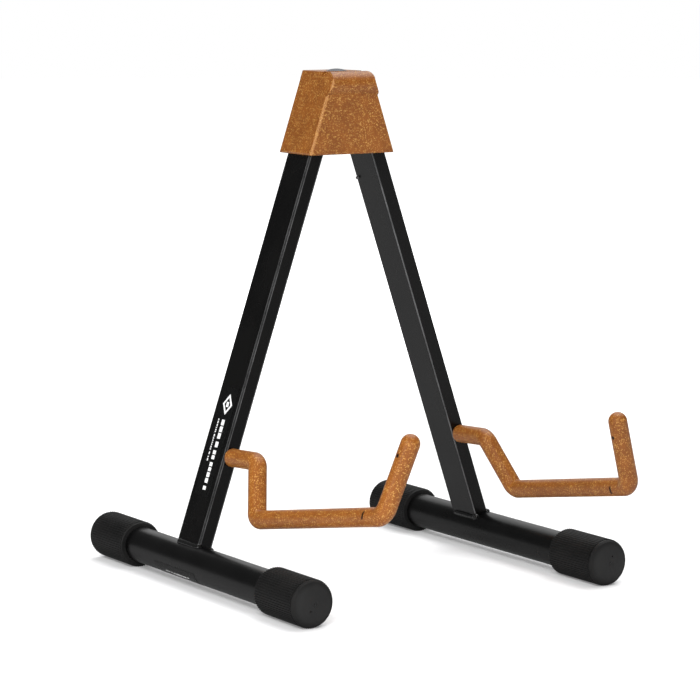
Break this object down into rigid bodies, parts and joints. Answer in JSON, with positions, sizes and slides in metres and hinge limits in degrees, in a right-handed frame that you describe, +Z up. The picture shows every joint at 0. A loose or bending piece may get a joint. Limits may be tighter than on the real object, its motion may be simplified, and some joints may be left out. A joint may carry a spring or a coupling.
{
  "type": "folding guitar stand",
  "caption": "Folding A-frame floor stand for a guitar: two flat black legs on ribbed-capped foot tubes, a padded head block and two bent padded cradle arms.",
  "frame": {"origin": "on the floor, under the centre of the open stand's bounding box", "axes": "+Z up; X runs across the two legs, with the left leg on -X and the right leg on +X; the cradle arms reach towards -Y, the front"},
  "size_m": [0.2746, 0.3458, 0.3549],
  "materials": {
    "cork": "satin",
    "black_powder_coat": "satin",
    "black_tube_paint": "satin",
    "black_rubber": "matte",
    "zinc_steel": "satin",
    "dark_screw": "satin",
    "nylon": "satin",
    "black_plastic": "satin",
    "label_black": "satin",
    "label_white": "satin"
  },
  "bodies": {
    "head": {"head_cover": "cork", "head_screw": "dark_screw", "head_nut": "zinc_steel", "hinge_bracket": "zinc_steel", "left_hinge_pin": "zinc_steel", "right_hinge_pin": "zinc_steel"},
    "left_leg_body": {"left_leg": "black_powder_coat", "left_hinge_bush": "zinc_steel", "left_hinge_washers": "nylon", "left_foot_tube": "black_tube_paint", "left_front_cap": "black_rubber", "left_rear_cap": "black_rubber", "left_weld": "black_powder_coat", "left_arm_rod": "black_powder_coat", "left_arm_sleeve": "cork", "left_leg_label": "label_black", "left_foot_label": "label_black"},
    "right_leg_body": {"right_leg": "black_powder_coat", "right_hinge_bush": "zinc_steel", "right_hinge_washers": "nylon", "right_foot_tube": "black_tube_paint", "right_front_cap": "black_rubber", "right_rear_cap": "black_rubber", "right_weld": "black_powder_coat", "right_arm_rod": "black_powder_coat", "right_arm_sleeve": "cork", "right_stop_stud": "black_plastic"}
  },
  "joints": [
    {"name": "left_leg_fold", "type": "hinge", "parent": "head", "child": "left_leg_body", "pos_m": [-0.01093, 0.05168, 0.33856], "axis": [0, -1, 0], "range_deg": [0, 17.8]},
    {"name": "right_leg_fold", "type": "hinge", "parent": "head", "child": "right_leg_body", "pos_m": [0.01093, 0.05168, 0.33856], "axis": [0, 1, 0], "range_deg": [0, 17.8]}
  ]
}
